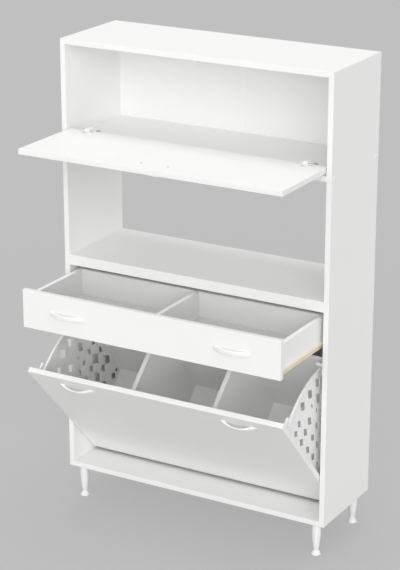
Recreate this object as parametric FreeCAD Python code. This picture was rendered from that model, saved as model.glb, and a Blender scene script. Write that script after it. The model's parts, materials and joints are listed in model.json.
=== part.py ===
import FreeCAD, Part
import math
import os

os.makedirs("parts", exist_ok=True)

# Driving dimensions, in mm
# The working corner is the carcass's lower left front corner: X right, Y to the back, Z up
width = 1000.0
depth = 340.0
carcass_height = 1530.0
board = 18.0
back_board = 3.0
leg_height = 120.0

# The room behind the flap, and the counter's height above the carcass's underside
upper_room = 312.0
counter_top = 787.0
counter_thick = 36.0

# Gaps round the inset fronts
front_gap = 3.0
flap_side_gap = 4.0
flap_low_gap = 2.5
flap_top_gap = 2.0
drawer_top_gap = 2.5

# Small clearances, and the rounding of a board's edges
edge_round = 0.8
screw_fit = 0.05
run_fit = 0.05
seat_fit = 0.1
stop_gap = 0.3
roll_gap = 0.4

# Drop flap and its hinges
flap_pin_y = 8.0
flap_pin_up = 16.0
flap_open_deg = 90.0
hinge_inset = 96.0
cup_r = 17.5
cup_edge = 5.0
cup_floor_y = 4.3
cup_wall = 0.7
slot_half = 8.7
arm_half = 8.0
slot_under = 3.5
slot_over = 14.5
pin_r = 1.5
pin_wall = 1.2
pin_fit = 0.02
eye_r = 2.6
wing_half = 33.0
wing_tall = 18.0
wing_thick = 1.2
wing_screw = 24.0
hinge_screw_r = 1.5
hinge_screw_long = 10.0
hinge_head_r = 3.4
hinge_head_top_r = 2.4
hinge_head_tall = 1.6
plate_room = 9.0
plate_long = 35.0
plate_half = 20.0
plate_thick = 2.0
plate_screw_x = 13.0
plate_screw_in = 17.5
arm_room = 2.0
arm_thick = 8.0
arm_drop_thick = 7.0
arm_lead = 1.0
arm_foot_tall = 7.0
arm_foot_short = 4.0

# Drawer
drawer_back_room = 6.0
drawer_front_tall = 131.5
drawer_board = 15.0
drawer_side_low = 9.6
drawer_side_tall = 101.4
drawer_floor = 3.0
drawer_floor_up = 9.0
drawer_groove = 6.0
rail_room = 12.5
rail_thick = 1.2
rail_tall = 18.4
rail_gap = 3.0
rail_tuck = 0.5
rail_inset = 0.6
rail_end = 4.0
channel_tall = 20.4
lip_gap = 4.0
channel_floor_start = 9.0
roller_r = 6.9
roller_side = 1.8
roller_off = 2.2
axle_r = 2.0
axle_gap = 3.1
axle_end = 8.0
roller_room = 1.6
rail_screw_front = 70.0
rail_screw_back = 90.0
rail_screw_r = 1.5
rail_screw_head_r = 3.0
rail_screw_head = 1.0
rail_screw_long = 14.0

# Tilt-out bin, drawn shut and then tipped about its pivot
bin_open_deg = 43.0
bin_pivot_y = 71.0
bin_pivot_z = 192.0
bin_sweep_gap = 0.8
cheek_inset = 15.0
cheek_thick = 8.0
cheek_web = 2.0
cheek_rim = 4.0
bin_floor_top = 107.0
bin_board = 10.0
bin_back_room = 48.0
bin_back_drop = 127.5
bin_back_lean = 4.3
bin_divider_drop = 136.0
bin_divider_thick = 15.0
crown_gap = 7.0
cheek_low = 88.0
cheek_lap = 2.0
window_rim = 4.0
window_slope = 1.45
groove_deep = 1.0
groove_wide = 2.0
flange_wide = 16.0
flange_thick = 4.0
flange_up = 2.0
flange_rise = 22.0
hook_root = 30.0
hook_gap = 1.0
hook_span = 5.0
boss_out = 10.0
boss_r = 16.0
collar_r = 9.0
collar_gap = 1.0
finger_drop = 41.0
finger_thick = 5.5
finger_wide = 8.0
finger_tip_y = 55.0
finger_lap = 6.5
finger_foot_thick = 3.0
finger_foot_up = 1.0
finger_foot_tall = 23.0
finger_gap = 0.5
pivot_r = 5.0
pin_sink = 12.0
pin_short = 0.5
peg_r = 6.0
peg_long = 32.0
peg_spigot_r = 4.0

# Bow handles
handle_half = 67.0
handle_out = 19.0
handle_inner_half = 45.0
handle_strap = 4.5
handle_wide = 15.0
handle_pitch = 96.0
handle_x = 194.0
bin_handle_drop = 50.0
flap_handle_drop = 55.0
handle_screw_r = 1.5
handle_screw_in = 6.0
handle_head_r = 3.6
handle_head_tall = 2.0
handle_round = 2.0
handle_way = 0.5

# Legs and their glides
leg_x = 41.0
leg_y = 31.0
leg_r = 16.0
leg_belly_r = 13.6
leg_neck_r = 8.6
leg_belly_up = 33.0
leg_shoulder_up = 66.5
leg_stud_r = 4.0
leg_stud = 12.0
glide_r = 17.4
glide_top_r = 9.6
glide_tall = 17.5
glide_round = 3.5
spigot_r = 5.0
spigot_long = 5.0

# Fastenings
cap_front = 18.0
cap_back = 14.0
cap_r = 7.0
cap_thick = 1.2
cap_stem_r = 4.9
cap_stem = 2.0
shelf_screw_r = 2.5
shelf_screw_in = 32.0
shelf_head_r = 5.0
shelf_head_gap = 0.2
shelf_head_sink = 6.0
shelf_head_tall = 3.6
dowel_in = 60.0
dowel_r = 4.0
dowel_flat = 12.0
dowel_up = 18.0
cam_side_in = 60.0
cam_in = 34.0
cam_r = 7.4
cam_deep = 24.2
cam_bolt_r = 3.0
cam_bolt_room = 0.3
cam_bolt_in = 10.0
end_room = 0.2

# Catch and strike plate
catch_half = 7.0
catch_deep = 25.5
catch_tall = 11.0
catch_gap = 0.5
strike_half = 9.0
strike_tall = 10.0
strike_thick = 1.0
strike_drop = 13.0

# Joint in the backs
seam_x = 505.0
seam_web = 2.0
seam_half = 6.0
seam_face = 1.0
back_inset = 1.0

# Derived
inner_l = board
inner_r = width - board
mid_x = width / 2.0
flap_shelf_top = carcass_height - board - upper_room
flap_pin_z = flap_shelf_top + flap_pin_up
plate_front = board + plate_room
plate_screw_y = plate_front + plate_screw_in
flap_low = flap_shelf_top + flap_low_gap
flap_high = carcass_height - board - flap_top_gap
counter_low = counter_top - counter_thick
drawer_high = counter_low - drawer_top_gap
drawer_low = drawer_high - drawer_front_tall
bin_high = drawer_low - front_gap
drawer_box_deep = depth - board - drawer_back_room
# The drawer comes out until its rear rollers are close behind the front ones
drawer_stay = rail_inset + 2 * axle_end + 2 * roller_r + roller_room
drawer_out = drawer_box_deep - drawer_stay
rail_flange = rail_room - rail_gap
channel_floor = rail_room - rail_gap
channel_lip = rail_room - lip_gap
axle_long = rail_room - axle_gap
roller_wide = axle_long - roll_gap - rail_thick - roller_side
handle_inner_out = handle_out - handle_strap
bin_back_y = depth - bin_back_room - bin_board
bin_divider_top = bin_high - bin_divider_drop
bin_back_top = bin_high - bin_back_drop
finger_r = bin_high - bin_pivot_z - finger_drop
bin_reach = bin_pivot_z - board - bin_sweep_gap
bin_low = bin_pivot_z - math.sqrt(bin_reach ** 2 - bin_pivot_y ** 2)
back_y = depth + back_board + seam_face
front_y = -drawer_out - handle_out
origin_y = (front_y + back_y) / 2.0
shift = FreeCAD.Vector(-mid_x, -origin_y, leg_height)


def vec(x, y, z):
    return FreeCAD.Vector(x, y, z)


def box(x0, x1, y0, y1, z0, z1):
    return Part.makeBox(x1 - x0, y1 - y0, z1 - z0, vec(x0, y0, z0))


def rod_x(x0, x1, y, z, r):
    return Part.makeCylinder(r, x1 - x0, vec(x0, y, z), vec(1, 0, 0))


def rod_y(y0, y1, x, z, r):
    return Part.makeCylinder(r, y1 - y0, vec(x, y0, z), vec(0, 1, 0))


def rod_z(z0, z1, x, y, r):
    return Part.makeCylinder(r, z1 - z0, vec(x, y, z0), vec(0, 0, 1))


def mirror(shape):
    return shape.mirror(vec(mid_x, 0, 0), vec(1, 0, 0))


def turn(shape, y, z, degrees):
    out = shape.copy()
    out.rotate(vec(0, y, z), vec(1, 0, 0), degrees)
    return out


def ease(shape, r):
    # A small rounding on every straight edge of a board
    return shape.makeFillet(r, shape.Edges)


def ease_front(shape, y, r):
    # The same on the front edges only
    edges = []
    for e in shape.Edges:
        b = e.BoundBox
        if abs(b.YMin - y) < 1e-4 and abs(b.YMax - y) < 1e-4:
            edges.append(e)
    return shape.makeFillet(r, edges)


nodes = {}


def keep(name, shapes):
    solids = shapes if isinstance(shapes, list) else [shapes]
    made = []
    for s in solids:
        c = s.removeSplitter() if len(s.Solids) == 1 else s
        c.translate(shift)
        made.append(c)
    shape = made[0] if len(made) == 1 else Part.makeCompound(made)
    nodes[name] = shape
    shape.exportStep("parts/" + name + ".step")


def to_flap(shape):
    return turn(shape, flap_pin_y, flap_pin_z, flap_open_deg)


def to_bin(shape):
    return turn(shape, bin_pivot_y, bin_pivot_z, bin_open_deg)


def to_drawer(shape):
    out = shape.copy()
    out.translate(vec(0, -drawer_out, 0))
    return out


# Positions of the fastenings
cap_y = [cap_front, depth - cap_back]
screw_z = flap_shelf_top - board / 2.0
dowel_y = [dowel_in, depth - dowel_in]
cam_y = [cam_side_in, depth - cam_side_in]
cam_z = counter_low + counter_thick / 2.0
peg_y = board + stop_gap + peg_r
peg_arm = finger_r - finger_gap - peg_r
peg_z = bin_pivot_z + math.sqrt(peg_arm ** 2 - (bin_pivot_y - peg_y) ** 2)
rail_y0 = board + rail_inset
rail_y1 = depth - rail_end
rail_z0 = drawer_low + drawer_side_low
rail_flange_z = rail_z0 + rail_tall - rail_thick
roller_z = rail_flange_z - roll_gap - roller_r
channel_low = roller_z - roller_r - roll_gap - rail_thick
channel_high = channel_low + channel_tall
rail_screw_y = [rail_screw_front, depth - rail_screw_back]
over = 1.0

# Side panels, the right one drawn and the left one mirrored
top_low = carcass_height - board
side = box(inner_r, width, 0, depth, board, top_low)
side = ease_front(side, 0, edge_round)
tools = []
for y in cap_y:
    tools.append(rod_x(inner_r - over, width + over, y, screw_z, shelf_screw_r + screw_fit))
    tools.append(rod_x(width - shelf_head_sink, width + over, y, screw_z, shelf_head_r + shelf_head_gap))
for y in dowel_y:
    tools.append(rod_z(board - over, board + dowel_up + end_room, inner_r + board / 2, y, dowel_r))
    tools.append(rod_z(top_low - dowel_up - end_room, top_low + over, inner_r + board / 2, y, dowel_r))
for y in cam_y:
    tools.append(rod_x(inner_r - over, inner_r + cam_bolt_in + end_room, y, cam_z, cam_bolt_r + screw_fit))
tools.append(rod_x(inner_r - over, inner_r + pin_sink + end_room, bin_pivot_y, bin_pivot_z, pivot_r))
tools.append(rod_x(inner_r - over, inner_r + pin_sink + end_room, peg_y, peg_z, peg_spigot_r))
for y in rail_screw_y:
    tools.append(rod_x(inner_r - over, inner_r + rail_screw_long + end_room, y, roller_z,
                       rail_screw_r + screw_fit))
right_side = side.cut(tools)
keep("right_side_panel", right_side.copy())
keep("left_side_panel", mirror(right_side))

# Top and bottom panels over and under the sides
top = box(0, width, 0, depth, top_low, carcass_height)
top = ease_front(top, 0, edge_round)
tools = []
for x in (board / 2, width - board / 2):
    for y in dowel_y:
        tools.append(rod_z(top_low - over, top_low + dowel_flat + end_room, x, y, dowel_r))
keep("top_panel", top.cut(tools))

leg_spots = [(leg_x, leg_y), (width - leg_x, leg_y), (leg_x, depth - leg_y), (width - leg_x, depth - leg_y)]
bottom = box(0, width, 0, depth, 0, board)
bottom = ease_front(bottom, 0, edge_round)
tools = []
for x in (board / 2, width - board / 2):
    for y in dowel_y:
        tools.append(rod_z(board - dowel_flat - end_room, board + over, x, y, dowel_r))
for x, y in leg_spots:
    tools.append(rod_z(-over, leg_stud + end_room, x, y, leg_stud_r))
keep("bottom_panel", bottom.cut(tools))

dowels = []
for x in (board / 2, width - board / 2):
    for y in dowel_y:
        dowels.append(rod_z(board - dowel_flat, board + dowel_up, x, y, dowel_r - screw_fit))
        dowels.append(rod_z(top_low - dowel_up, top_low + dowel_flat, x, y, dowel_r - screw_fit))
keep("panel_dowels", dowels)

# Flap shelf
hinge_x = [hinge_inset, width - hinge_inset]
hinge_hole = hinge_screw_long + end_room
shelf = box(inner_l, inner_r, 0, depth, flap_shelf_top - board, flap_shelf_top)
shelf = ease_front(shelf, 0, edge_round)
tools = []
for y in cap_y:
    way = rod_x(inner_r - shelf_screw_in - end_room, inner_r + over, y, screw_z, shelf_screw_r)
    tools += [way, mirror(way)]
for hx in hinge_x:
    for dx in (-plate_screw_x, plate_screw_x):
        tools.append(rod_z(flap_shelf_top - hinge_hole, flap_shelf_top + over, hx + dx, plate_screw_y,
                           hinge_screw_r + screw_fit))
keep("flap_shelf", shelf.cut(tools))

screws = []
caps = []
for y in cap_y:
    head_x = width - shelf_head_sink
    s = rod_x(inner_r - shelf_screw_in, head_x + shelf_head_tall / 2, y, screw_z, shelf_screw_r - screw_fit)
    s = s.fuse(rod_x(head_x, head_x + shelf_head_tall, y, screw_z, shelf_head_r))
    s = s.cut(rod_x(head_x + shelf_head_tall / 2, width, y, screw_z, shelf_head_r / 3))
    screws += [s, mirror(s)]
    c = rod_x(width, width + cap_thick, y, screw_z, cap_r)
    rim = [e for e in c.Edges if e.BoundBox.XMin > width + cap_thick / 2 and e.BoundBox.YLength > cap_r]
    c = c.makeFillet(cap_thick * 0.65, rim)
    c = c.fuse(rod_x(width - cap_stem, width, y, screw_z, cap_stem_r))
    caps += [c, mirror(c)]
keep("shelf_screws", screws)
keep("screw_caps", caps)

# Counter shelf with cams in its underside
counter = box(inner_l, inner_r, 0, depth, counter_low, counter_top)
counter = ease_front(counter, 0, edge_round)
cams = []
bolts = []
tools = []
for y in cam_y:
    cx = inner_r - cam_in
    hole = rod_x(cx + cam_r, inner_r + over, y, cam_z, cam_bolt_r + cam_bolt_room)
    pocket = rod_z(counter_low - over, counter_low + cam_deep + end_room, cx, y, cam_r + seat_fit)
    cam = rod_z(counter_low + end_room, counter_low + cam_deep, cx, y, cam_r)
    arm = cam_r * 0.54
    slit = cam_r * 0.11
    deep = counter_low + cam_deep / 8
    cross = box(cx - arm, cx + arm, y - slit, y + slit, counter_low, deep)
    cross = cross.fuse(box(cx - slit, cx + slit, y - arm, y + arm, counter_low, deep))
    cam = cam.cut(cross)
    bolt = rod_x(cx + cam_r + cam_bolt_room, inner_r + cam_bolt_in, y, cam_z, cam_bolt_r)
    for group, item in ((cams, cam), (bolts, bolt), (tools, hole), (tools, pocket)):
        group += [item, mirror(item)]
keep("counter_shelf", counter.cut(tools))
keep("counter_cams", cams)
keep("cam_bolts", bolts)

# Backs in two halves, with a strip that joins them
lower_top = counter_top - back_inset
upper_low = flap_shelf_top - board + back_inset
upper_high = carcass_height - back_inset
backs = (("lower_back", back_inset, lower_top), ("upper_back", upper_low, upper_high))
for name, z0, z1 in backs:
    left = box(back_inset, seam_x - seam_web / 2, depth, depth + back_board, z0, z1)
    right = box(seam_x + seam_web / 2, width - back_inset, depth, depth + back_board, z0, z1)
    keep(name + "_left", left)
    keep(name + "_right", right)
joiners = []
spans = ((back_inset, lower_top, board, counter_low), (upper_low, upper_high, flap_shelf_top, top_low))
for z0, z1, f0, f1 in spans:
    j = box(seam_x - seam_web / 2, seam_x + seam_web / 2, depth, depth + back_board, z0, z1)
    j = j.fuse(box(seam_x - seam_half, seam_x + seam_half, depth + back_board, back_y, z0, z1))
    j = j.fuse(box(seam_x - seam_half, seam_x + seam_half, depth - seam_face, depth,
                   f0 + end_room, f1 - end_room))
    joiners.append(j)
keep("back_joiners", joiners)

# Stop pegs and pivot pins for the bin
peg_in = inner_r - peg_long
peg = rod_x(peg_in, inner_r, peg_y, peg_z, peg_r)
ends = [e for e in peg.Edges if e.BoundBox.XMax < peg_in + peg_long / 2 and e.BoundBox.YLength > peg_r]
peg = peg.makeFillet(peg_r / 6, ends)
peg = peg.fuse(rod_x(inner_r, inner_r + pin_sink, peg_y, peg_z, peg_spigot_r - screw_fit))
keep("stop_pegs", [peg, mirror(peg)])

cheek_out = inner_r - cheek_inset
cheek_in = cheek_out - cheek_thick
pin = rod_x(cheek_in + pin_short, inner_r + pin_sink, bin_pivot_y, bin_pivot_z, pivot_r - screw_fit)
collar = rod_x(cheek_out + boss_out + collar_gap, inner_r, bin_pivot_y, bin_pivot_z, collar_r)
pin = pin.fuse(collar)
keep("bin_pivot_pins", [pin, mirror(pin)])


def turned(points, x, y):
    # A solid of revolution about the upright line at x and y: radius and height, and arcs as three points
    edges = []
    here = points[0]
    for step in points[1:] + points[:1]:
        ends = [vec(x + r, y, z) for r, z in ([here] + (step if isinstance(step, list) else [step]))]
        edge = Part.Arc(*ends) if len(ends) == 3 else Part.LineSegment(*ends)
        edges.append(edge.toShape())
        here = step[-1] if isinstance(step, list) else step
    return Part.Face(Part.Wire(edges)).revolve(vec(x, y, 0), vec(0, 0, 1), 360)


# Legs with a full shoulder that draws in to a neck, on flared glides
neck_z = glide_tall - leg_height
floor_z0 = -leg_height
turn_in = glide_round * (1 - math.sqrt(0.5))
leg_profile = [(0, neck_z), (leg_neck_r, neck_z),
               [(leg_belly_r, neck_z + leg_belly_up), (leg_r, neck_z + leg_shoulder_up)], (leg_r, 0), (0, 0)]
glide_profile = [(0, floor_z0), (glide_r - glide_round, floor_z0),
                 [(glide_r - turn_in, floor_z0 + turn_in), (glide_r, floor_z0 + glide_round)],
                 (glide_top_r, neck_z), (0, neck_z)]
glides = []
names = ("leg_front_left", "leg_front_right", "leg_back_left", "leg_back_right")
for (x, y), name in zip(leg_spots, names):
    leg = turned(leg_profile, x, y)
    stud = rod_z(0, leg_stud, x, y, leg_stud_r - screw_fit)
    spigot = rod_z(neck_z - spigot_long, neck_z, x, y, spigot_r - screw_fit)
    keep(name, leg.fuse([stud, spigot]))
    g = turned(glide_profile, x, y)
    glides.append(g.cut(rod_z(neck_z - spigot_long - end_room, neck_z + over, x, y, spigot_r)))
keep("leg_glides", glides)

# Catch under the top panel and its strike plate on the flap
catch_y0 = board + catch_gap
catch_y1 = catch_y0 + catch_deep
catch_low = top_low - catch_tall
catch = box(mid_x - catch_half, mid_x + catch_half, catch_y0, catch_y1, catch_low, top_low)
verticals = []
for e in catch.Edges:
    if e.BoundBox.ZLength > catch_tall / 2 and e.BoundBox.YMin > catch_y0 + over:
        verticals.append(e)
catch = catch.makeFillet(catch_half * 0.43, verticals)
mouth = catch_half * 0.64
catch = catch.cut(box(mid_x - mouth, mid_x + mouth, catch_y0 - over, catch_y0 + catch_gap,
                      catch_low + catch_tall * 0.23, catch_low + catch_tall * 0.77))
keep("magnet_catch", catch)
strike_z0 = top_low - strike_drop
strike = box(mid_x - strike_half, mid_x + strike_half, board - strike_thick, board,
             strike_z0, strike_z0 + strike_tall)
keep("strike_plate", to_flap(strike))


def bow_handle(x, z):
    # A crescent bow lying in X and Y, its feet on the plane y = 0 and its crown at -handle_out
    outer = Part.Arc(vec(x - handle_half, 0, z), vec(x, -handle_out, z), vec(x + handle_half, 0, z))
    inner = Part.Arc(vec(x + handle_inner_half, 0, z), vec(x, -handle_inner_out, z),
                     vec(x - handle_inner_half, 0, z))
    foot_a = Part.LineSegment(vec(x + handle_half, 0, z), vec(x + handle_inner_half, 0, z))
    foot_b = Part.LineSegment(vec(x - handle_inner_half, 0, z), vec(x - handle_half, 0, z))
    wire = Part.Wire([outer.toShape(), foot_a.toShape(), inner.toShape(), foot_b.toShape()])
    bow = Part.Face(wire).extrude(vec(0, 0, handle_wide))
    bow.translate(vec(0, 0, -handle_wide / 2))
    arcs = []
    for e in bow.Edges:
        if e.BoundBox.ZLength < 1e-6 and e.BoundBox.YLength > handle_inner_out / 2:
            arcs.append(e)
    bow = bow.makeFillet(handle_round, arcs)
    holes = []
    for dx in (-handle_pitch / 2, handle_pitch / 2):
        holes.append(rod_y(-handle_screw_in - end_room, over, x + dx, z, handle_screw_r + screw_fit))
    return bow.cut(holes)


def handle_screws(x, z):
    out = []
    for dx in (-handle_pitch / 2, handle_pitch / 2):
        s = rod_y(-handle_screw_in, board, x + dx, z, handle_screw_r)
        top = board + handle_head_tall
        head = rod_y(board, top, x + dx, z, handle_head_r)
        rim = []
        for e in head.Edges:
            if e.BoundBox.YMin > board + handle_head_tall / 2 and e.BoundBox.XLength > handle_head_r:
                rim.append(e)
        head = head.makeFillet(handle_head_tall / 2, rim)
        s = s.fuse(head)
        half = handle_head_r * 0.6
        slit = handle_head_r * 0.11
        s = s.cut(box(x + dx - half, x + dx + half, board + handle_head_tall * 0.55, top + over,
                      z - slit, z + slit))
        out.append(s)
    return out


def screw_ways(x, z):
    r = handle_screw_r + handle_way
    return [rod_y(-over, board + over, x + dx, z, r) for dx in (-handle_pitch / 2, handle_pitch / 2)]


# Flap, drawn shut and then dropped open
flap_handle_z = flap_high - flap_handle_drop
cup_z = flap_low + cup_edge + cup_r
flap = box(inner_l + flap_side_gap, inner_r - flap_side_gap, 0, board, flap_low, flap_high)
flap = ease(flap, edge_round)
tools = screw_ways(mid_x, flap_handle_z)
tools.append(box(mid_x - strike_half - seat_fit, mid_x + strike_half + seat_fit, board - strike_thick,
                 board + over, strike_z0 - seat_fit, strike_z0 + strike_tall + seat_fit))
for hx in hinge_x:
    tools.append(rod_y(cup_floor_y, board + over, hx, cup_z, cup_r + seat_fit))
    for dx in (-wing_screw, wing_screw):
        tools.append(rod_y(board - hinge_hole, board + over, hx + dx, cup_z, hinge_screw_r + screw_fit))
keep("flap", to_flap(flap.cut(tools)))
keep("flap_handle", to_flap(bow_handle(mid_x, flap_handle_z)))
keep("flap_handle_screws", [to_flap(s) for s in handle_screws(mid_x, flap_handle_z)])

# The hinge pin is as long as the cup is wide at its height, less a wall at each end
pin_half = math.sqrt(cup_r ** 2 - (cup_z - flap_pin_z + pin_r) ** 2) - pin_wall
cups = []
pins = []
cup_screws = []
arms = []
arm_screws = []
arm_low = flap_pin_z + board - flap_pin_y + arm_room
arm_crown = arm_low + arm_thick
slot_low = flap_pin_z - slot_under
slot_high = cup_z + slot_over
plate_top = flap_shelf_top + plate_thick
drop_y0 = plate_front - arm_lead
drop_y1 = drop_y0 + arm_drop_thick
foot_y1 = plate_front + plate_long - arm_foot_short
for hx in hinge_x:
    cup = rod_y(cup_floor_y, board, hx, cup_z, cup_r)
    wings = box(hx - wing_half, hx + wing_half, board, board + wing_thick,
                cup_z - wing_tall / 2, cup_z + wing_tall / 2)
    corners = [e for e in wings.Edges if e.BoundBox.YLength > wing_thick / 2 and e.BoundBox.XLength < 1e-6]
    wings = wings.makeFillet(wing_tall * 0.28, corners)
    cup = cup.fuse(wings)
    slot = box(hx - slot_half, hx + slot_half, cup_floor_y + cup_wall, board + wing_thick + over,
               slot_low, slot_high)
    ways = [rod_x(hx - pin_half - end_room, hx + pin_half + end_room, flap_pin_y, flap_pin_z, pin_r)]
    for dx in (-wing_screw, wing_screw):
        ways.append(rod_y(board - over, board + wing_thick + over, hx + dx, cup_z, hinge_screw_r + screw_fit))
    cup = cup.cut([slot] + ways)
    cups.append(to_flap(cup))
    pins.append(to_flap(rod_x(hx - pin_half, hx + pin_half, flap_pin_y, flap_pin_z, pin_r - pin_fit)))
    for dx in (-wing_screw, wing_screw):
        s = rod_y(board - hinge_screw_long, board + wing_thick, hx + dx, cup_z, hinge_screw_r)
        s = s.fuse(Part.makeCone(hinge_head_r, hinge_head_top_r, hinge_head_tall,
                                 vec(hx + dx, board + wing_thick, cup_z), vec(0, 1, 0)))
        cup_screws.append(to_flap(s))
    # The arm is fixed to the shelf: an eye on the pin, a neck over the flap's edge and a foot
    eye = rod_x(hx - arm_half, hx + arm_half, flap_pin_y, flap_pin_z, eye_r)
    neck = box(hx - arm_half, hx + arm_half, flap_pin_y - eye_r, flap_pin_y + eye_r, flap_pin_z, arm_crown)
    bridge = box(hx - arm_half, hx + arm_half, flap_pin_y - eye_r, drop_y1, arm_low, arm_crown)
    drop = box(hx - arm_half, hx + arm_half, drop_y0, drop_y1, plate_top, arm_crown)
    foot = box(hx - arm_half, hx + arm_half, drop_y0, foot_y1, plate_top, plate_top + arm_foot_tall)
    arm = eye.fuse([neck, bridge, drop, foot]).removeSplitter()
    soft = []
    for e in arm.Edges:
        b = e.BoundBox
        if abs(b.ZMin - arm_crown) < 1e-4 and abs(b.ZMax - arm_crown) < 1e-4:
            soft.append(e)
    arm = arm.makeFillet(arm_thick / 5, soft)
    plate = box(hx - plate_half, hx + plate_half, plate_front, plate_front + plate_long,
                flap_shelf_top, plate_top)
    uprights = [e for e in plate.Edges if e.BoundBox.ZLength > plate_thick / 2]
    plate = plate.makeFillet(plate_half / 4, uprights)
    arm = arm.fuse(plate)
    ways = [rod_x(hx - plate_half, hx + plate_half, flap_pin_y, flap_pin_z, pin_r - pin_fit + run_fit)]
    for dx in (-plate_screw_x, plate_screw_x):
        ways.append(rod_z(flap_shelf_top - over, plate_top + over, hx + dx, plate_screw_y,
                          hinge_screw_r + screw_fit))
        s = rod_z(flap_shelf_top - hinge_screw_long, plate_top, hx + dx, plate_screw_y, hinge_screw_r)
        s = s.fuse(Part.makeCone(hinge_head_r, hinge_head_top_r, hinge_head_tall,
                                 vec(hx + dx, plate_screw_y, plate_top), vec(0, 0, 1)))
        arm_screws.append(s)
    arms.append(arm.cut(ways))
keep("hinge_cups", cups)
keep("hinge_pins", pins)
keep("hinge_cup_screws", cup_screws)
keep("hinge_arms", arms)
keep("hinge_arm_screws", arm_screws)

# Drawer, drawn shut and then pulled out
side_z0 = drawer_low + drawer_side_low
side_z1 = side_z0 + drawer_side_tall
side_out = inner_r - rail_room
side_in = side_out - drawer_board
box_back = board + drawer_box_deep
floor_z = side_z0 + drawer_floor_up
handle_z = drawer_low + drawer_front_tall / 2.0
front = box(inner_l + front_gap, inner_r - front_gap, 0, board, drawer_low, drawer_high)
front = ease(front, edge_round)
floor = box(width - side_in - drawer_groove, side_in + drawer_groove, board - drawer_groove, box_back,
            floor_z, floor_z + drawer_floor)
tools = [floor]
for x in (handle_x, width - handle_x):
    tools += screw_ways(x, handle_z)
keep("drawer_front", to_drawer(front.cut(tools)))
keep("drawer_bottom", to_drawer(floor))
right = box(side_in, side_out, board, box_back, side_z0, side_z1).cut(floor)
keep("drawer_right_side", to_drawer(right))
keep("drawer_left_side", to_drawer(mirror(right)))
back = box(width - side_in, side_in, box_back - drawer_board, box_back, floor_z + drawer_floor, side_z1)
keep("drawer_back", to_drawer(back))
divider = box(mid_x - drawer_board / 2, mid_x + drawer_board / 2, board, box_back - drawer_board,
              floor_z + drawer_floor, side_z1)
keep("drawer_divider", to_drawer(divider))
keep("drawer_handle_left", to_drawer(bow_handle(handle_x, handle_z)))
keep("drawer_handle_right", to_drawer(bow_handle(width - handle_x, handle_z)))
pulls = handle_screws(handle_x, handle_z) + handle_screws(width - handle_x, handle_z)
keep("drawer_handle_screws", [to_drawer(s) for s in pulls])

# Rails: the drawer's wraps the side's lower corner, the cabinet's is a channel on the side panel
rear_y = box_back - axle_end
rail = box(side_out, side_out + rail_thick, board, box_back, rail_z0, rail_z0 + rail_tall)
rail = rail.fuse(box(side_in + rail_tuck, side_out + rail_thick, board, box_back,
                     rail_z0 - rail_thick, rail_z0))
rail = rail.fuse(box(side_out, side_out + rail_flange, board, box_back,
                     rail_flange_z, rail_flange_z + rail_thick))
rail = rail.fuse(rod_x(side_out, side_out + axle_long, rear_y, roller_z, axle_r))
keep("drawer_rail_right", to_drawer(rail))
keep("drawer_rail_left", to_drawer(mirror(rail)))
front_y_axle = rail_y0 + axle_end
floor_y0 = front_y_axle + channel_floor_start
channel = box(inner_r - rail_thick, inner_r, rail_y0, rail_y1, channel_low, channel_high)
channel = channel.fuse(box(inner_r - channel_floor, inner_r, floor_y0, rail_y1,
                           channel_low, channel_low + rail_thick))
channel = channel.fuse(box(inner_r - channel_lip, inner_r, rail_y0, rail_y1,
                           channel_high - rail_thick, channel_high))
channel = channel.fuse(rod_x(inner_r - axle_long, inner_r, front_y_axle, roller_z, axle_r))
ways = []
rail_screws = []
web_x = inner_r - rail_thick
for y in rail_screw_y:
    ways.append(rod_x(web_x - over, inner_r + over, y, roller_z, rail_screw_r + screw_fit))
    s = rod_x(web_x, inner_r + rail_screw_long, y, roller_z, rail_screw_r)
    s = s.fuse(rod_x(web_x - rail_screw_head, web_x, y, roller_z, rail_screw_head_r))
    rail_screws += [s, mirror(s)]
channel = channel.cut(ways)
keep("cabinet_rail_right", channel.copy())
keep("cabinet_rail_left", mirror(channel))
keep("rail_screws", rail_screws)


def roller(x, y):
    r = rod_x(x, x + roller_wide, y, roller_z, roller_r)
    rims = [e for e in r.Edges if e.BoundBox.XLength < 1e-6 and e.BoundBox.YLength > roller_r]
    r = r.makeFillet(roller_wide / 10, rims)
    return r.cut(rod_x(x - over, x + roller_wide + over, y, roller_z, axle_r + run_fit))


front_roller = roller(inner_r - axle_long + roll_gap, front_y_axle)
rear_roller = to_drawer(roller(side_out + roller_off, rear_y))
keep("front_rollers", [front_roller, mirror(front_roller)])
keep("rear_rollers", [rear_roller, mirror(rear_roller)])

# Bin, drawn shut and then tipped out
bin_handle_z = bin_high - bin_handle_drop
door = box(inner_l + front_gap, inner_r - front_gap, 0, board, bin_low, bin_high)
door = ease(door, edge_round)
tools = []
for x in (handle_x, width - handle_x):
    tools += screw_ways(x, bin_handle_z)
keep("bin_door", to_bin(door.cut(tools)))
keep("bin_handle_left", to_bin(bow_handle(handle_x, bin_handle_z)))
keep("bin_handle_right", to_bin(bow_handle(width - handle_x, bin_handle_z)))
pulls = handle_screws(handle_x, bin_handle_z) + handle_screws(width - handle_x, bin_handle_z)
keep("bin_handle_screws", [to_bin(s) for s in pulls])


def face_yz(points, x, thick):
    pts = [vec(x, y, z) for y, z in points]
    return Part.Face(Part.makePolygon(pts + pts[:1])).extrude(vec(thick, 0, 0))


def back_front(z):
    # The bin's back stands on its floor and leans away from the door
    return bin_back_y + (z - bin_floor_top) * math.tan(math.radians(bin_back_lean))


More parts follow.
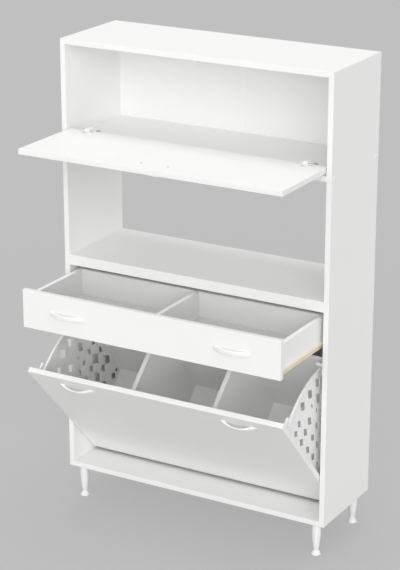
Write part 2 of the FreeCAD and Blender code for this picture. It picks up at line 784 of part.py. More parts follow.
floor_low = bin_floor_top - bin_board
back_far = bin_back_y + bin_board
bin_wide = 2 * cheek_in - width
floor = box(width - cheek_in, cheek_in, board, bin_back_y, floor_low, bin_floor_top)
keep("bin_floor", to_bin(floor))
top_front = back_front(bin_back_top)
back = face_yz([(bin_back_y, floor_low), (bin_back_y, bin_floor_top), (top_front, bin_back_top),
                (top_front + bin_board, bin_back_top), (back_far, bin_floor_top), (back_far, floor_low)],
               width - cheek_in, bin_wide)
keep("bin_back", to_bin(back))
# Two dividers make three bays of one width
dividers = []
divider_off = (bin_wide + bin_divider_thick) / 6.0
for x in (mid_x - divider_off, mid_x + divider_off):
    d = face_yz([(board, bin_floor_top), (bin_back_y, bin_floor_top),
                 (back_front(bin_divider_top), bin_divider_top), (board, bin_divider_top)],
                x - bin_divider_thick / 2, bin_divider_thick)
    dividers.append(to_bin(d))
keep("bin_dividers", dividers)

# The cheek's crown turns about the pivot just inside the pegs, and a hook at its rear meets them
crown_r = peg_arm - peg_r - crown_gap
hook_r = finger_r - hook_gap
peg_angle = math.degrees(math.atan2(peg_z - bin_pivot_z, peg_y - bin_pivot_y))
hook_lead = math.degrees(math.asin((peg_r + stop_gap) / peg_arm))
hook_angle = peg_angle - hook_lead - bin_open_deg
hook_far = hook_angle - hook_span


def crown_at(y):
    return bin_pivot_z + math.sqrt(crown_r ** 2 - (y - bin_pivot_y) ** 2)


def cheek_rear(z):
    return back_front(z) + bin_board + cheek_lap


def polar(r, degrees):
    a = math.radians(degrees)
    return bin_pivot_y + r * math.cos(a), bin_pivot_z + r * math.sin(a)


def cheek_plate(x, thick, inset):
    # A straight front, a leaning rear, a level foot and the round crown, all drawn in by the inset
    low = cheek_low + inset
    high = bin_pivot_z + crown_r
    plate = face_yz([(board + inset, low), (cheek_rear(low) - inset, low), (cheek_rear(high) - inset, high),
                     (board + inset, high)], x, thick)
    return plate.common(rod_x(x - over, x + thick + over, bin_pivot_y, bin_pivot_z, crown_r - inset))


web_out = cheek_in + cheek_web
cheek = cheek_plate(cheek_in, cheek_thick, 0)
cheek = cheek.cut(cheek_plate(web_out, cheek_thick, cheek_rim))
hook_low = crown_r - hook_root
hook = face_yz([polar(hook_low, hook_angle), polar(hook_r, hook_angle), polar(hook_r, hook_far),
                polar(hook_low, hook_far)], cheek_in, cheek_thick)
boss = rod_x(cheek_in, cheek_out + boss_out, bin_pivot_y, bin_pivot_z, boss_r)
flange = box(cheek_in - flange_wide, cheek_in, board, board + flange_thick, bin_floor_top + flange_up,
             bin_divider_top + flange_rise)
cheek = cheek.fuse([hook, boss, flange]).removeSplitter()

# Diamond openings in the cheek: centre Y, centre Z, half of the width
windows = [
    (48, 470, 12.0), (47, 410, 14.0), (51, 346, 13.5), (52, 291, 13.5), (50, 236, 12.5), (82, 474, 13.0),
    (84, 410, 14.5), (96, 346, 13.5), (96, 291, 15.0), (100, 240, 12.5), (124, 412, 15.5), (134, 498, 17.5),
    (139, 349, 13.0), (141, 292, 13.5), (140, 236, 13.5), (167, 436, 7.5), (174, 393, 7.5), (178, 350, 11.0),
    (186, 293, 13.0), (184, 232, 17.5), (188, 480, 17.5), (208, 412, 18.0), (225, 349, 11.0),
    (226, 292, 20.5),
    (225, 222, 14.5), (241, 461, 17.5), (262, 221, 18.0), (266, 288, 12.0), (239, 137, 13.5), (264, 136, 9.0),
    (134, 172, 15.5), (186, 172, 13.5), (262, 350, 11.0), (252, 404, 13.0),
]
tools = []
for y, z, half in windows:
    # An opening that would break out of the outline is left out
    edge = cheek_rim + window_rim
    tall = half * window_slope
    within = y - half > board + edge and y + half < cheek_rear(z) - edge
    if within and z - tall > cheek_low + edge and z + tall < crown_at(y) - edge:
        tools.append(face_yz([(y - half, z), (y, z - tall), (y + half, z), (y, z + tall)], cheek_in - over,
                             cheek_thick + 2 * over))
tools.append(rod_x(cheek_in - over, cheek_out + boss_out + over, bin_pivot_y, bin_pivot_z,
                   pivot_r - screw_fit + run_fit))
# Fine grooves in the web's outer face
groove = [((30, 500), (66, 262)), ((173, 470), (154, 370)), ((154, 370), (182, 366))]
for (ya, za), (yb, zb) in groove:
    run = math.hypot(yb - ya, zb - za)
    g = Part.makeBox(groove_deep + over, run, groove_wide, vec(web_out - groove_deep, 0, -groove_wide / 2))
    g.rotate(vec(0, 0, 0), vec(1, 0, 0), math.degrees(math.atan2(zb - za, yb - ya)))
    g.translate(vec(0, ya, za))
    tools.append(g)
right_cheek = cheek.cut(tools)
keep("bin_cheek_right", to_bin(right_cheek))
keep("bin_cheek_left", to_bin(mirror(right_cheek)))

# Guide fingers behind the door's top, running just over the pegs
finger_x0 = cheek_out - finger_lap
finger_x1 = finger_x0 + finger_wide
ring = rod_x(finger_x0, finger_x1, bin_pivot_y, bin_pivot_z, finger_r + finger_thick)
ring = ring.cut(rod_x(finger_x0 - over, finger_x1 + over, bin_pivot_y, bin_pivot_z, finger_r))
span = box(finger_x0 - over, finger_x1 + over, board, finger_tip_y, bin_pivot_z, bin_high)
finger = ring.common(span)
pad_low = bin_pivot_z + math.sqrt(finger_r ** 2 - (bin_pivot_y - board) ** 2)
foot_z0 = pad_low + finger_foot_up
foot = box(finger_x0, finger_x1, board, board + finger_foot_thick, foot_z0, foot_z0 + finger_foot_tall)
finger = finger.fuse(foot).removeSplitter()
keep("bin_fingers", [to_bin(finger), to_bin(mirror(finger))])

print("nodes", len(nodes))
for name, shape in nodes.items():
    if not shape.isValid():
        print("not valid", name)
    for s in shape.Solids:
        if s.Volume < 1:
            print("thin", name, s.Volume)
print("origin_y", round(origin_y, 3), "peg", round(peg_y, 2), round(peg_z, 2), "bin_low", round(bin_low, 2))
print("flap pin", flap_pin_y, flap_pin_z, "roller_z", round(roller_z, 2), "bin_high", bin_high)
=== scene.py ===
# %% [markdown]
# # A tall white kitchen cabinet
# The cabinet's boards, hinges, runners and legs come from a CAD model, and they are already at their real
# size and place. This lesson gives them their looks: a finish for each material, the camera and the soft
# light of a catalogue picture, and the small fittings whose form is better drawn by hand in Blender.

# %% Load the fixed frame
import json
import math

import bpy
from mathutils import Matrix, Vector


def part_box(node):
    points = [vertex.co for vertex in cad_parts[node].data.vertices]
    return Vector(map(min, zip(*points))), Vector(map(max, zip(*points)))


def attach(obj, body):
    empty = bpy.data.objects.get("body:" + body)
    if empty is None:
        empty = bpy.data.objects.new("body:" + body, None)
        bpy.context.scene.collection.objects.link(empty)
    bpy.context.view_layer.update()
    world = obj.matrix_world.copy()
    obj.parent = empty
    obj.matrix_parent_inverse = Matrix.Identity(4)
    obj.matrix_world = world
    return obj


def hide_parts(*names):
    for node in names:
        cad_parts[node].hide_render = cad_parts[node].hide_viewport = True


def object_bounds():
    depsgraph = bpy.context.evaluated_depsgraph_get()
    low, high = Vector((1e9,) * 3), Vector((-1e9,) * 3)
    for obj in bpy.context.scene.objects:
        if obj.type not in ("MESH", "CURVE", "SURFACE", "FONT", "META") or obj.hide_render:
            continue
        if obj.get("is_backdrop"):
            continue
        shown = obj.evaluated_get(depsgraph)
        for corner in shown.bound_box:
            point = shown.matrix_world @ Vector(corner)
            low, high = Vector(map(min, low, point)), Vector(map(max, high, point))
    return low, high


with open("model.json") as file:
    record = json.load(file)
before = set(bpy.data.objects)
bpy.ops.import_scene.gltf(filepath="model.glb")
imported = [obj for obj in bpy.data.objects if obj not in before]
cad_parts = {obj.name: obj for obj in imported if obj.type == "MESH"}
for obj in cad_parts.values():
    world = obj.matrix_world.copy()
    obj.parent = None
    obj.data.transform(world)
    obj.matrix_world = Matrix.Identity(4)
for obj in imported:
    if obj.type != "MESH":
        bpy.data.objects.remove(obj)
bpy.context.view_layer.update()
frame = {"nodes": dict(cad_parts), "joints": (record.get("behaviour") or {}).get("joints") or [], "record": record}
scene = bpy.context.scene
scene.view_settings.view_transform = "Standard"
scene.cycles.diffuse_bounces = 8

# %% [markdown]
# ## The camera
# A catalogue picture is taken from far away with a long lens, so that the uprights stay almost parallel.
# The camera stands to the cabinet's right, well above its top, and looks down at it. Its place and its
# direction are written as a point, an azimuth and an elevation, which is easier to follow than a rotation.

# %% Set up the camera
view_azimuth = math.radians(29.92)
view_elevation = math.radians(19.29)
lens_mm = 121.47
sensor_mm = 36.0
far_clip = 200.0
camera_place = (2.9986, -5.1783, 2.9687)

toward_camera = Vector((math.sin(view_azimuth) * math.cos(view_elevation),
                        -math.cos(view_azimuth) * math.cos(view_elevation),
                        math.sin(view_elevation)))
lens_data = bpy.data.cameras.new("catalogue_lens")
lens_data.sensor_width = sensor_mm
lens_data.lens = lens_mm
lens_data.clip_end = far_clip
camera = bpy.data.objects.new("catalogue_camera", lens_data)
scene.collection.objects.link(camera)
camera.location = camera_place
camera.rotation_mode = "QUATERNION"
camera.rotation_quaternion = (-toward_camera).to_track_quat("-Z", "Y")
scene.camera = camera
print("camera at", [round(v, 3) for v in camera.location], "lens", lens_mm, "mm")

# %% [markdown]
# ## Writing shader sums in Python
# A finish is a tree of nodes. Joining them one by one takes many lines, so small classes do that work. A
# `Flow` is a value on its way through the tree, and sums on it add Math nodes. A `Tree` has one method that
# adds any other node: its settings are set first, and then its sockets. A `Finish` is a material's tree.

# %% Define the flow and the tree
class Flow:
    def __init__(self, tree, socket):
        self.tree = tree
        self.socket = socket

    def maths(self, operation, first, second):
        return self.tree.node("ShaderNodeMath", {"operation": operation}, {0: first, 1: second})

    def __add__(self, other):
        return self.maths("ADD", self, other)

    __radd__ = __add__

    def __rsub__(self, other):
        return self.maths("SUBTRACT", other, self)

    def __mul__(self, other):
        return self.maths("MULTIPLY", self, other)

    __rmul__ = __mul__

    def __pow__(self, other):
        return self.maths("POWER", self, other)

    def __or__(self, other):
        return self.maths("MAXIMUM", self, other)


class Tree:
    def __init__(self, holder):
        holder.use_nodes = True
        self.nodes = holder.node_tree.nodes
        self.links = holder.node_tree.links

    def feed(self, socket, value):
        if isinstance(value, Flow):
            self.links.new(value.socket, socket)
        else:
            socket.default_value = value

    def node(self, kind, settings=None, sockets=None, output=0):
        made = self.nodes.new(kind)
        for key, value in (settings or {}).items():
            setattr(made, key, value)
        for key, value in (sockets or {}).items():
            self.feed(made.inputs[key], value)
        return Flow(self, made.outputs[output])


print("the flow and the tree are ready")

# %% Define the finish
class Finish(Tree):
    def __init__(self, name):
        self.material = bpy.data.materials.new(name)
        super().__init__(self.material)
        self.shader = self.nodes["Principled BSDF"]

    def place(self, scale=(1.0, 1.0, 1.0)):
        here = self.node("ShaderNodeTexCoord", output="Object")
        return self.node("ShaderNodeMapping", {}, {"Vector": here, "Scale": scale})

    def noise(self, where, scale, detail=2.0, rough=0.5):
        return self.node("ShaderNodeTexNoise", {}, {"Vector": where, "Scale": scale, "Detail": detail,
                                                    "Roughness": rough}, output="Fac")

    def mix(self, share, first, second):
        return self.node("ShaderNodeMix", {"data_type": "RGBA"}, {0: share, 6: first, 7: second}, output=2)

    def tint(self, share, first, second):
        return self.mix(share, (*first, 1.0), (*second, 1.0))

    def part(self, vector, axis):
        return self.node("ShaderNodeSeparateXYZ", {}, {0: vector}, output=axis)

    def step(self, value, low, high):
        return self.node("ShaderNodeMapRange", {}, {"Value": value, "From Min": low, "From Max": high})

    def bump(self, height, strength, distance):
        return self.node("ShaderNodeBump", {}, {"Height": height, "Strength": strength, "Distance": distance})

    def set(self, **sockets):
        for key, value in sockets.items():
            self.feed(self.shader.inputs[key.replace("_", " ")], value)
        return self


print("the finish is ready")

# %% [markdown]
# ## White melamine board
# The boards are chipboard under a pressed white foil. The foil isn't a flat white: it has a fine pearl
# texture from the press plate, and its gloss wanders a little over an arm's length. A fine noise gives the
# pearl as a bump, and a wide one moves the tone and the roughness by a few hundredths.

# %% Make the melamine finish
def melamine(name, light, shade, gloss):
    finish = Finish(name)
    where = finish.place()
    wide = finish.noise(where, scale=5.0, detail=3.0)
    pearl = finish.noise(where, scale=900.0, detail=1.0)
    finish.colour = finish.tint(wide, light, shade)
    finish.set(Base_Color=finish.colour,
               Roughness=gloss + wide * 0.08 + pearl * 0.04,
               Normal=finish.bump(pearl, strength=0.08, distance=0.0003))
    return finish


board = melamine("white_melamine", (0.88, 0.88, 0.872), (0.855, 0.855, 0.848), 0.36)
print("made", board.material.name)

# %% [markdown]
# ## Insides with painted light
# The drawer's insides are painted grey, as painted shade. Its upper edges and every other face that looks up are
# painted a brighter white than the board, as a painted highlight, and its outsides keep the board's white. That
# needs no pieces of its own: the Normal output of Texture Coordinate says which way a face looks in the object's
# own space. Faces that look up get the painted highlight. On an outside, the place and the direction along X have
# one sign, so their product is large only there. The bin's boards are white all over, apart from the same painted
# highlight on faces that look up.

# %% Paint shade and highlights into the drawer and the bin
outside_white = (0.86, 0.86, 0.853, 1.0)
# A painted highlight: every face that looks up is painted this brighter white.
up_face_highlight = (0.96, 0.96, 0.955, 1.0)
lining_gloss = 0.42
up_between = (0.55, 0.65)
out_between = (0.25, 0.3)


# An inside finish with painted light: faces that look up get the painted highlight, and the outsides get the
# board's white.
def painted_light_inside(name, light, shade):
    inner_finish = melamine(name, light, shade, lining_gloss)
    facing = inner_finish.node("ShaderNodeTexCoord", output="Normal")
    looks_up = inner_finish.step(inner_finish.part(facing, "Z"), *up_between)
    looks_out = inner_finish.step(inner_finish.part(facing, "X") * inner_finish.part(inner_finish.place(), "X"), *out_between)
    skinned = inner_finish.mix(looks_out, inner_finish.colour, outside_white)
    return inner_finish.set(Base_Color=inner_finish.mix(looks_up, skinned, up_face_highlight))


# The drawer's grey insides are painted shade. The bin keeps the board's white.
drawer_painted_shade = painted_light_inside("drawer_painted_shade", (0.73, 0.73, 0.726), (0.705, 0.705, 0.701))
bin_lining = painted_light_inside("bin_lining", (0.885, 0.885, 0.88), (0.86, 0.86, 0.855))
print("made", drawer_painted_shade.material.name, "and", bin_lining.material.name)

# %% [markdown]
# ## Painted hardboard
# The thin backs and the drawer's floor are hardboard with one painted face. Pressed wood fibres lie under
# the paint, so the surface shows faint flecks that are longer than they are wide. Stretching a noise with
# the Mapping node turns its blobs into such fibres. The drawer's floor is painted greyer, as painted shade.

# %% Make the hardboard finishes
def fibreboard(name, stretch, light, shade):
    finish = Finish(name)
    fibre = finish.noise(finish.place(scale=stretch), scale=3.0, detail=4.0, rough=0.6)
    cloud = finish.noise(finish.place(), scale=9.0)
    return finish.set(Base_Color=finish.tint(fibre * 0.6 + cloud * 0.4, light, shade),
                      Roughness=0.5 + fibre * 0.12,
                      Normal=finish.bump(fibre, strength=0.06, distance=0.0004))


hardboard = fibreboard("painted_hardboard", (60.0, 60.0, 260.0), (0.88, 0.88, 0.872), (0.835, 0.835, 0.828))
# The drawer floor's grey is painted shade.
shaded_drawer_floor = fibreboard("drawer_floor_painted_shade", (60.0, 260.0, 60.0), (0.73, 0.73, 0.726), (0.69, 0.69, 0.686))
print("made", hardboard.material.name, "and", shaded_drawer_floor.material.name)

# %% [markdown]
# ## Moulded plastics
# The bin's cheeks, the caps, the pegs and the rollers are satin plastic, with the fine grain that a spark
# eroded mould leaves. The handles and legs come from a polished mould: they are smoother and brighter, and
# only a slow ripple disturbs their reflections.

# %% Make the plastic finishes
satin = Finish("satin_plastic")
grain = satin.noise(satin.place(), scale=1500.0, detail=2.0, rough=0.6)
flow_lines = satin.noise(satin.place(scale=(14.0, 14.0, 40.0)), scale=1.0, detail=2.0)
satin.set(Base_Color=satin.tint(flow_lines, (0.885, 0.885, 0.878), (0.85, 0.85, 0.843)),
          Roughness=0.4 + grain * 0.1,
          Normal=satin.bump(grain, strength=0.12, distance=0.0002))

polished = Finish("polished_plastic")
ripple = polished.noise(polished.place(), scale=40.0, detail=1.0)
polished.set(Base_Color=polished.tint(ripple, (0.89, 0.89, 0.885), (0.86, 0.86, 0.855)),
             Roughness=0.26 + ripple * 0.06,
             Normal=polished.bump(ripple, strength=0.02, distance=0.0003))
polished.shader.inputs["Coat Weight"].default_value = 0.25
polished.shader.inputs["Coat Roughness"].default_value = 0.12
print("made", satin.material.name, "and", polished.material.name)

# %% [markdown]
# ## Metals
# Screws and pins are nickel plated steel, rubbed in one direction, so a noise stretched along X moves the
# roughness. The hinges are cast zinc under a pale satin plating, which is far less of a mirror, on bare steel
# plates. The runners have a cream powder coat, which dries into small bumps and flecks.

# %% Make the metal finishes
nickel = Finish("nickel_plate")
rubbed = nickel.noise(nickel.place(scale=(90.0, 1400.0, 1400.0)), scale=1.0, detail=3.0)
nickel.set(Base_Color=nickel.tint(rubbed, (0.93, 0.925, 0.91), (0.84, 0.835, 0.82)),
           Roughness=0.3 + rubbed * 0.2,
           Normal=nickel.bump(rubbed, strength=0.05, distance=0.0002))
nickel.shader.inputs["Metallic"].default_value = 1.0

zinc = Finish("pale_zinc")
cast = zinc.noise(zinc.place(), scale=700.0, detail=3.0)
worn = zinc.noise(zinc.place(), scale=90.0, detail=2.0)
plate_thick = 0.002
plate_metallic = 0.9
metallic_lost = 0.82
plate_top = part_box("hinge_arms")[0].z + plate_thick
above = zinc.step(zinc.part(zinc.place(), "Z"), plate_top + 0.0001, plate_top + 0.0004)
zinc.set(Base_Color=zinc.tint(worn, (0.90, 0.90, 0.893), (0.85, 0.85, 0.843)),
         Metallic=plate_metallic - metallic_lost * above,
         Roughness=0.34 + cast * 0.14,
         Normal=zinc.bump(cast, strength=0.08, distance=0.0002))

cream = Finish("cream_powder_coat")
peel = cream.noise(cream.place(), scale=420.0, detail=2.0)
fleck = cream.noise(cream.place(), scale=1600.0, detail=1.0)
cream.set(Base_Color=cream.tint(fleck, (0.84, 0.76, 0.62), (0.77, 0.68, 0.54)),
          Roughness=0.38 + peel * 0.12,
          Normal=cream.bump(peel, strength=0.15, distance=0.0003))
print("made", nickel.material.name, zinc.material.name, "and", cream.material.name)

# %% [markdown]
# ## Beech
# The dowels between the boards are raw beech. They only show when the cabinet is taken apart, but they
# still get their grain: long streaks along Z with short dark flecks in them.

# %% Make the beech finish
beech = Finish("raw_beech")
streak = beech.noise(beech.place(scale=(500.0, 500.0, 30.0)), scale=1.0, detail=4.0)
dash = beech.noise(beech.place(scale=(1400.0, 1400.0, 160.0)), scale=1.0, detail=1.0) ** 3.0
beech.set(Base_Color=beech.tint(streak * 0.8 + dash * 0.6, (0.76, 0.60, 0.42), (0.60, 0.42, 0.26)),
          Roughness=0.6 + streak * 0.1,
          Normal=beech.bump(streak, strength=0.1, distance=0.0002))
print("made", beech.material.name)

# %% [markdown]
# ## Dressing the CAD pieces
# Every CAD piece has a material slot in its record, such as white board or nickel steel. A table from slot
# to finish then dresses all of them, and a later piece drawn by hand uses the same table.

# %% Assign the finishes
finishes = {
    "white_board": board.material,
    "white_board_inner": bin_lining.material,
    "white_hardboard": hardboard.material,
    "white_plastic": satin.material,
    "gloss_white_plastic": polished.material,
    "nickel_steel": nickel.material,
    "cream_steel": cream.material,
    "beech": beech.material,
}
slot_of = {p["node"]: p["material_slot"] for p in frame["record"]["subparts"]}
for name, piece in frame["nodes"].items():
    piece.data.materials.clear()
    piece.data.materials.append(finishes[slot_of[name]])
print("dressed", len(frame["nodes"]), "pieces in", len(finishes), "finishes")

# %% Dress the exceptions
# The drawer's boards take the finishes with painted shade.
exceptions = {
    "hinge_arms": zinc, "hinge_cups": zinc, "strike_plate": satin, "screw_caps": polished,
    "drawer_left_side": drawer_painted_shade, "drawer_right_side": drawer_painted_shade, "drawer_back": drawer_painted_shade,
    "drawer_divider": drawer_painted_shade, "drawer_bottom": shaded_drawer_floor,
}
for name, finish in exceptions.items():
    frame["nodes"][name].data.materials[0] = finish.material
print("changed the finish of", len(exceptions), "pieces")

# %% [markdown]
# ## Helpers for modelling by hand
# An operator works on whatever is selected, so each step starts by choosing its points by their place. The
# helpers add a primitive at its size, copy a piece, choose points, and finish a piece: its place goes into
# its mesh, it gets its finish, and it rides on the body that carries it.

# %% Define the modelling helpers
near = 1e-5
level = 1e-6
smooth_angle = math.radians(35)


def add_block(name, low, high):
    bpy.ops.object.select_all(action="DESELECT")
    centre = [(a + b) / 2 for a, b in zip(low, high)]
    bpy.ops.mesh.primitive_cube_add(size=1.0, location=centre)
    block = bpy.context.object
    block.name = name
    block.scale = [b - a for a, b in zip(low, high)]
    bpy.ops.object.transform_apply(location=True, rotation=True, scale=True)
    return block


def add_disc(corners, radius, tall):
    bpy.ops.object.select_all(action="DESELECT")
    middle = (0.0, 0.0, tall / 2)
    bpy.ops.mesh.primitive_cylinder_add(vertices=corners, radius=radius, depth=tall, location=middle)
    bpy.ops.object.transform_apply(location=True, rotation=True, scale=True)
    return bpy.context.object


def copy_to(pattern, where):
    copy = pattern.copy()
    copy.data = pattern.data.copy()
    scene.collection.objects.link(copy)
    copy.matrix_world = where
    return copy


def choose(kind, test):
    block = bpy.context.object
    bpy.ops.mesh.select_mode(type=kind)
    bpy.ops.mesh.select_all(action="DESELECT")
    bpy.ops.object.mode_set(mode="OBJECT")
    mesh = block.data
    parts = {"VERT": mesh.vertices, "EDGE": mesh.edges, "FACE": mesh.polygons}[kind]
    count = 0
    for part in parts:
        points = [part.co] if kind == "VERT" else [mesh.vertices[i].co for i in part.vertices]
        part.select = bool(test(points))
        count += part.select
    bpy.ops.object.mode_set(mode="EDIT")
    return count


def settle(piece, body, slot):
    bpy.ops.object.select_all(action="DESELECT")
    piece.select_set(True)
    bpy.context.view_layer.objects.active = piece
    bpy.ops.object.transform_apply(location=True, rotation=True, scale=True)
    bpy.ops.object.shade_smooth_by_angle(angle=smooth_angle)
    piece.data.materials.clear()
    piece.data.materials.append(finishes[slot])
    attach(piece, body)
    return piece


def rings_along_x(cuts):
    bpy.ops.object.mode_set(mode="EDIT")
    choose("EDGE", lambda p: abs(p[0].x - p[1].x) > near)
    bpy.ops.mesh.subdivide(number_cuts=cuts)
    bpy.ops.object.mode_set(mode="OBJECT")


joints = {j["name"]: j for j in frame["joints"]}

# %% [markdown]
# ## The bow handles
# Each front has white bow handles: a strap that rises from the board, runs out to a crown and comes back.
# Its outer face is one long arc and its inner face a tighter one, so the strap is thin in the middle and
# broad where it stands on the board. A bar is cut into rings, every ring is moved onto the two arcs, and
# then the long edges are bevelled, as a hand would do it.

# %% Model one handle
handle_half = 0.067
handle_out = 0.019
grip_half = 0.045
grip_out = 0.0145
strap_wide = 0.015
tip_thick = 0.0018
tip_round = 0.0048
bar_thick = 0.004
bow_rings = 80
rim_round = 0.0016
tip_limit = 0.97


def arc_height(x, half, out):
    radius = (half * half + out * out) / (2 * out)
    return math.sqrt(max(radius * radius - x * x, 0.0)) - (radius - out)


bow = add_block("bow_handle", (-handle_half, -bar_thick, -strap_wide / 2), (handle_half, 0.0, strap_wide / 2))
rings_along_x(bow_rings - 1)
bpy.ops.object.mode_set(mode="EDIT")
stations = sorted({round(v.co.x, 6) for v in bow.data.vertices})
for x in stations:
    crown = max(arc_height(x, handle_half, handle_out), tip_thick)
    hollow = arc_height(x, grip_half, grip_out) if abs(x) < grip_half else 0.0
    choose("VERT", lambda p: abs(p[0].x - x) < near and p[0].y < -bar_thick / 2)
    bpy.ops.transform.translate(value=(0.0, bar_thick - crown, 0.0))
    choose("VERT", lambda p: abs(p[0].x - x) < near and abs(p[0].y) < level)
    bpy.ops.transform.translate(value=(0.0, -hollow, 0.0))
    past = abs(x) - (handle_half - tip_round)
    if past > 0:
        narrow = tip_round - math.sqrt(tip_round ** 2 - min(past, tip_round * tip_limit) ** 2)
        choose("VERT", lambda p: abs(p[0].x - x) < near)
        bpy.ops.transform.resize(value=(1.0, 1.0, 1 - 2 * narrow / strap_wide), center_override=(x, 0.0, 0.0))
bpy.ops.object.mode_set(mode="OBJECT")
print("bow rings", len(stations), "points", len(bow.data.vertices))

# %% Round the handle's long edges
def on_rim(points):
    a, b = points
    along = abs(a.x - b.x) > near
    seated = abs(a.y) < level and abs(b.y) < level
    return along and not seated


bpy.ops.object.mode_set(mode="EDIT")
rims = choose("EDGE", on_rim)
bpy.ops.mesh.bevel(offset=rim_round, offset_type="OFFSET", segments=4, profile=0.5, affect="EDGES",
                   clamp_overlap=True)
bpy.ops.mesh.select_all(action="SELECT")
bpy.ops.mesh.remove_doubles(threshold=level)
bpy.ops.mesh.normals_make_consistent(inside=False)
bpy.ops.object.mode_set(mode="OBJECT")
print("rounded", rims, "edges, faces now", len(bow.data.polygons))

# %% [markdown]
# ## Placing the handles
# The drawer's handles sit straight on its front. The bin and the flap are open, so their handles are first
# set where they are when shut and then swung about the same hinge line that the joint has.

# %% Copy the handle to every front
def swing(joint, degrees):
    pivot = Matrix.Translation(Vector(joints[joint]["pos_m"]))
    return pivot @ Matrix.Rotation(math.radians(degrees), 4, "X") @ pivot.inverted()


front_handle_x = 0.306
bin_handle_z = 0.684
carcass_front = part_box("left_side_panel")[0].y
drawer_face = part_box("drawer_front")[0].y
drawer_mid = sum(c.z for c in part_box("drawer_front")) / 2
bin_open = joints["bin_tilt"]["range_deg"][1]
flap_open = joints["flap_hinge"]["range_deg"][1]
spots = {}
for side, sign in (("left", -1), ("right", 1)):
    x = sign * front_handle_x
    spots["drawer_handle_" + side] = ("drawer", Matrix.Translation((x, drawer_face, drawer_mid)))
    shut = Matrix.Translation((x, carcass_front, bin_handle_z))
    spots["bin_handle_" + side] = ("bin", swing("bin_tilt", bin_open) @ shut)
hinge = joints["flap_hinge"]["pos_m"]
flap_rise = hinge[1] - sum(c.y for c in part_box("flap_handle")) / 2
shut = Matrix.Translation((0.0, carcass_front, hinge[2] + flap_rise))
spots["flap_handle"] = ("flap", swing("flap_hinge", flap_open) @ shut)
for node, (body, where) in spots.items():
    copy = copy_to(bow, where)
    copy.name = node + "_bow"
    settle(copy, body, "gloss_white_plastic")
    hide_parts(node)
bpy.data.objects.remove(bow)
print("placed", len(spots), "handles")

# %% [markdown]
# ## Cross-head screws
# Eight pan-head screws hold the hinges. A cylinder becomes the head: its upper rim is bevelled to a dome, its
# underside is inset and drawn out to the shank, and a cross is cut into it with a Boolean modifier. One screw
# is made at the origin and copied, and the copies replace the CAD model's plainer screws.

# %% Model one screw
head_radius = 0.0034
head_tall = 0.0018
shank_radius = 0.0015
shank_long = 0.0095
cross_long = 0.0038
cross_wide = 0.0008
cross_deep = 0.0011
dome_round = 0.0012

screw = add_disc(corners=32, radius=head_radius, tall=head_tall)
bpy.ops.object.mode_set(mode="EDIT")
choose("FACE", lambda p: all(q.z < level for q in p))
bpy.ops.mesh.inset(thickness=head_radius - shank_radius)
bpy.ops.mesh.extrude_region_move(TRANSFORM_OT_translate={"value": (0.0, 0.0, -shank_long)})
choose("EDGE", lambda p: all(q.z > head_tall - level for q in p))
bpy.ops.mesh.bevel(offset=dome_round, offset_type="OFFSET", segments=5, profile=0.5, affect="EDGES")
bpy.ops.object.mode_set(mode="OBJECT")
print("screw faces", len(screw.data.polygons))

# %% Cut the cross
arms = []
for long, wide in ((cross_long, cross_wide), (cross_wide, cross_long)):
    arms.append(add_block("cross_arm", (-long / 2, -wide / 2, head_tall - cross_deep),
                          (long / 2, wide / 2, head_tall + cross_deep)))
for arm in arms:
    cut = screw.modifiers.new("cross", "BOOLEAN")
    cut.operation = "DIFFERENCE"
    cut.solver = "EXACT"
    cut.object = arm
    bpy.ops.object.select_all(action="DESELECT")
    bpy.context.view_layer.objects.active = screw
    bpy.ops.object.modifier_apply(modifier=cut.name)
    bpy.data.objects.remove(arm)
print("cross cut, faces now", len(screw.data.polygons))

# %% [markdown]
# ## Setting the screws
# At rest the flap lies open, so the screws in its hinge cups and the ones in the arms' plates all look up.
# Each group is copied to its places, joined into one piece and set to ride with its body.

# %% Copy the screws into the hinges
def set_group(name, pattern, places, body, slot):
    copies = [copy_to(pattern, where) for where in places]
    bpy.ops.object.select_all(action="DESELECT")
    for copy in copies:
        copy.select_set(True)
    bpy.context.view_layer.objects.active = copies[0]
    bpy.ops.object.join()
    group = bpy.context.object
    group.name = name
    return settle(group, body, slot)


hinge_x = 0.404
cup_spread = 0.024
arm_spread = 0.013
head_above_seat = 0.0016
turn_per_metre = 40.0
screw_sets = (("hinge_cup_screws", cup_spread, "flap"), ("hinge_arm_screws", arm_spread, "carcass"))
for node, spread, body in screw_sets:
    low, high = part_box(node)
    middle = (low.y + high.y) / 2
    seat = high.z - head_above_seat
    places = []
    for x in (-hinge_x - spread, -hinge_x + spread, hinge_x - spread, hinge_x + spread):
        places.append(Matrix.Translation((x, middle, seat)) @ Matrix.Rotation(turn_per_metre * x, 4, "Z"))
    group = set_group(node + "_cross", screw, places, body, "nickel_steel")
    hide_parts(node)
    print(group.name, "points", len(group.data.vertices))
bpy.data.objects.remove(screw)

# %% [markdown]
# ## Guide cheeks on the hinge plates
# Each hinge arm is clipped to a steel plate on the shelf, between two upright cheeks that keep it straight.
# A cheek is bent from bare steel, with a shallow notch in its top. A block is cut into rings, the middle pair
# is let down for the notch, and the crests are bevelled. One cheek is made and copied to all four places.

# %% Model one cheek
guide_long = 0.0115
guide_deep = 0.008
guide_tall = 0.0195
guide_dip = 0.0022
guide_round = 0.0006
guide_rings = 7
notch_rings = (3, 4)
guide_step = guide_long / guide_rings

